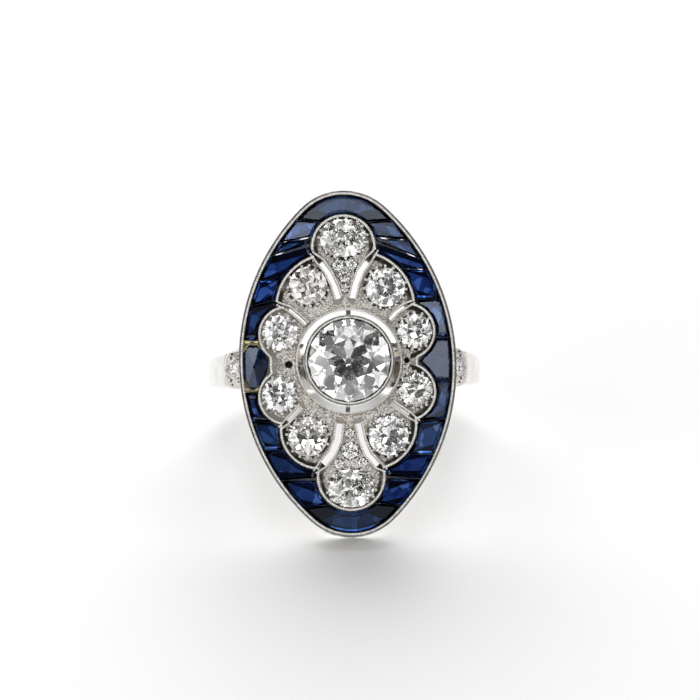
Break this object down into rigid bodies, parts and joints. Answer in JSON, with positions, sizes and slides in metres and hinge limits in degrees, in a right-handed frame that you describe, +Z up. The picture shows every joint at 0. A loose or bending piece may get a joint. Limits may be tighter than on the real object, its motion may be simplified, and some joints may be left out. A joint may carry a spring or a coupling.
{
  "type": "finger ring",
  "caption": "Finger ring with a long pointed-oval plaque: a round diamond in petals of smaller diamonds, ringed by calibre-cut sapphires, lying on its side.",
  "frame": {"origin": "middle of the ring's box at its base, with the ring lying on its side on the plaque's lower end and the band's edge", "axes": "+X to the right across the plaque as seen from its face, +Y from the plaque's face back over the band, +Z up"},
  "size_m": [0.0202, 0.0256, 0.0228],
  "materials": {
    "metal": "polished platinum",
    "diamond": "faceted and polished, colourless",
    "sapphire": "faceted and polished, deep blue"
  },
  "bodies": {
    "root": {"metal": "metal", "centre_diamond": "diamond", "petal_diamond_1": "diamond", "petal_diamond_2": "diamond", "petal_diamond_3": "diamond", "petal_diamond_4": "diamond", "petal_diamond_5": "diamond", "petal_diamond_6": "diamond", "petal_diamond_7": "diamond", "petal_diamond_8": "diamond", "petal_diamond_9": "diamond", "petal_diamond_10": "diamond", "accent_diamond_1": "diamond", "accent_diamond_2": "diamond", "accent_diamond_3": "diamond", "accent_diamond_4": "diamond", "accent_diamond_5": "diamond", "accent_diamond_6": "diamond", "accent_diamond_7": "diamond", "accent_diamond_8": "diamond", "sapphire_1": "sapphire", "sapphire_2": "sapphire", "sapphire_3": "sapphire", "sapphire_4": "sapphire", "sapphire_5": "sapphire", "sapphire_6": "sapphire", "sapphire_7": "sapphire", "sapphire_8": "sapphire", "sapphire_9": "sapphire", "sapphire_10": "sapphire", "sapphire_11": "sapphire", "sapphire_12": "sapphire", "sapphire_13": "sapphire", "sapphire_14": "sapphire", "sapphire_15": "sapphire", "sapphire_16": "sapphire", "sapphire_17": "sapphire", "sapphire_18": "sapphire", "sapphire_19": "sapphire", "sapphire_20": "sapphire", "sapphire_21": "sapphire", "sapphire_22": "sapphire", "shoulder_diamond_1": "diamond", "shoulder_diamond_2": "diamond", "shoulder_diamond_3": "diamond", "shoulder_diamond_4": "diamond"}
  },
  "joints": []
}
